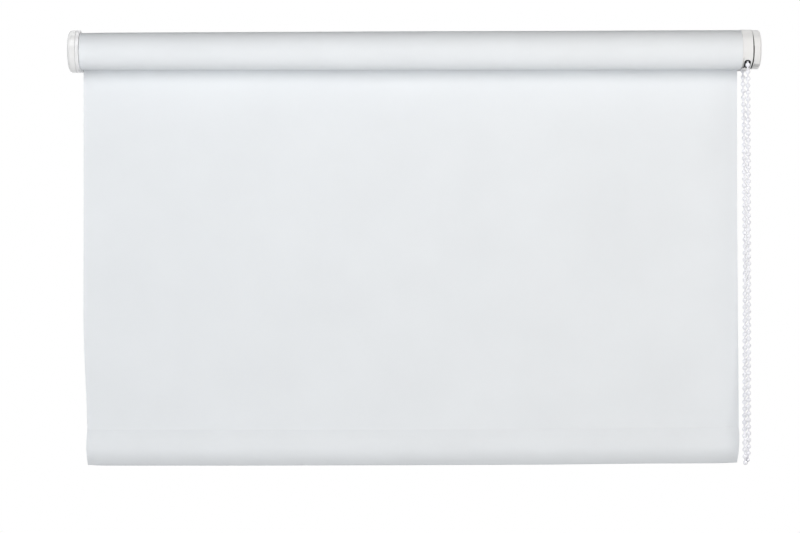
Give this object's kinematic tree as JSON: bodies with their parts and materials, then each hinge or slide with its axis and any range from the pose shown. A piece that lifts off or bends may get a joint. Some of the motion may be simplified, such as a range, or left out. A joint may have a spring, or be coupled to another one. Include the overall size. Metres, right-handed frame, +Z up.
{
  "type": "blackout roller blind",
  "caption": "Wall-mounted blackout roller blind with a wound fabric roll, hanging sheet, weighted hem bar, end covers and an endless bead chain drive.",
  "frame": {"origin": "on the wall plane, midway between the outer faces of the two end covers, level with the roller's axis", "axes": "+X along the roller towards the chain drive, which is to the right as seen from the room; +Y towards the wall, so the room side faces -Y; +Z up"},
  "size_m": [0.6068, 0.0456, 0.385],
  "materials": {
    "white_cover": "glossy white moulded plastic",
    "white_bracket": "white moulded plastic",
    "grey_inner": "grey glass-filled nylon",
    "chain": "pale bluish white beads on a polyester thread",
    "cloth": "off-white coated blackout cloth, matte, with a fine weave",
    "tube": "extruded aluminium",
    "bar": "extruded aluminium",
    "spring": "spring steel wire"
  },
  "bodies": {
    "frame": {"idle_bracket": "white_bracket", "idle_cap": "white_cover", "drive_bracket": "white_bracket", "drive_cover": "white_cover", "chain_guard": "white_cover", "clutch_core": "grey_inner", "core_clip": "spring", "core_screw": "spring"},
    "roller": {"roller_tube": "tube", "fabric_roll": "cloth", "idle_plug": "grey_inner", "pin_spring": "spring", "drive_adaptor": "grey_inner", "chain_wheel": "white_bracket", "wrap_spring_1": "spring", "wrap_spring_2": "spring", "chain_wrap": "chain"},
    "release_pin": {"idle_pin": "grey_inner"},
    "bottom_rail": {"fabric_sheet": "cloth", "hem_pocket": "cloth", "bottom_bar": "bar", "bar_cap_left": "white_cover", "bar_cap_right": "white_cover"},
    "chain": {"chain_loop": "chain"}
  },
  "joints": [
    {"name": "roller_spin", "type": "hinge", "parent": "frame", "child": "roller", "pos_m": [0, -0.027, 0], "axis": [1, 0, 0], "range_deg": [-4086.6, 1021.6]},
    {"name": "blind_drop", "type": "slide", "parent": "frame", "child": "bottom_rail", "axis": [0, 0, 1], "range_m": [-1.2001, 0.3001], "deforming": ["fabric_sheet"]},
    {"name": "chain_swing", "type": "hinge", "parent": "frame", "child": "chain", "pos_m": [0.291, -0.027, 0], "axis": [-1, 0, 0], "range_deg": [-2.5, 5]},
    {"name": "pin_retract", "type": "slide", "parent": "roller", "child": "release_pin", "axis": [1, 0, 0], "range_m": [0, 0.0042], "stiffness_N_per_m": 400, "springref_m": -0.005, "deforming": ["pin_spring"]}
  ],
  "couplings": [
    {"joint": "blind_drop", "follows": "roller_spin", "m_per_rad": 0.016825}
  ]
}
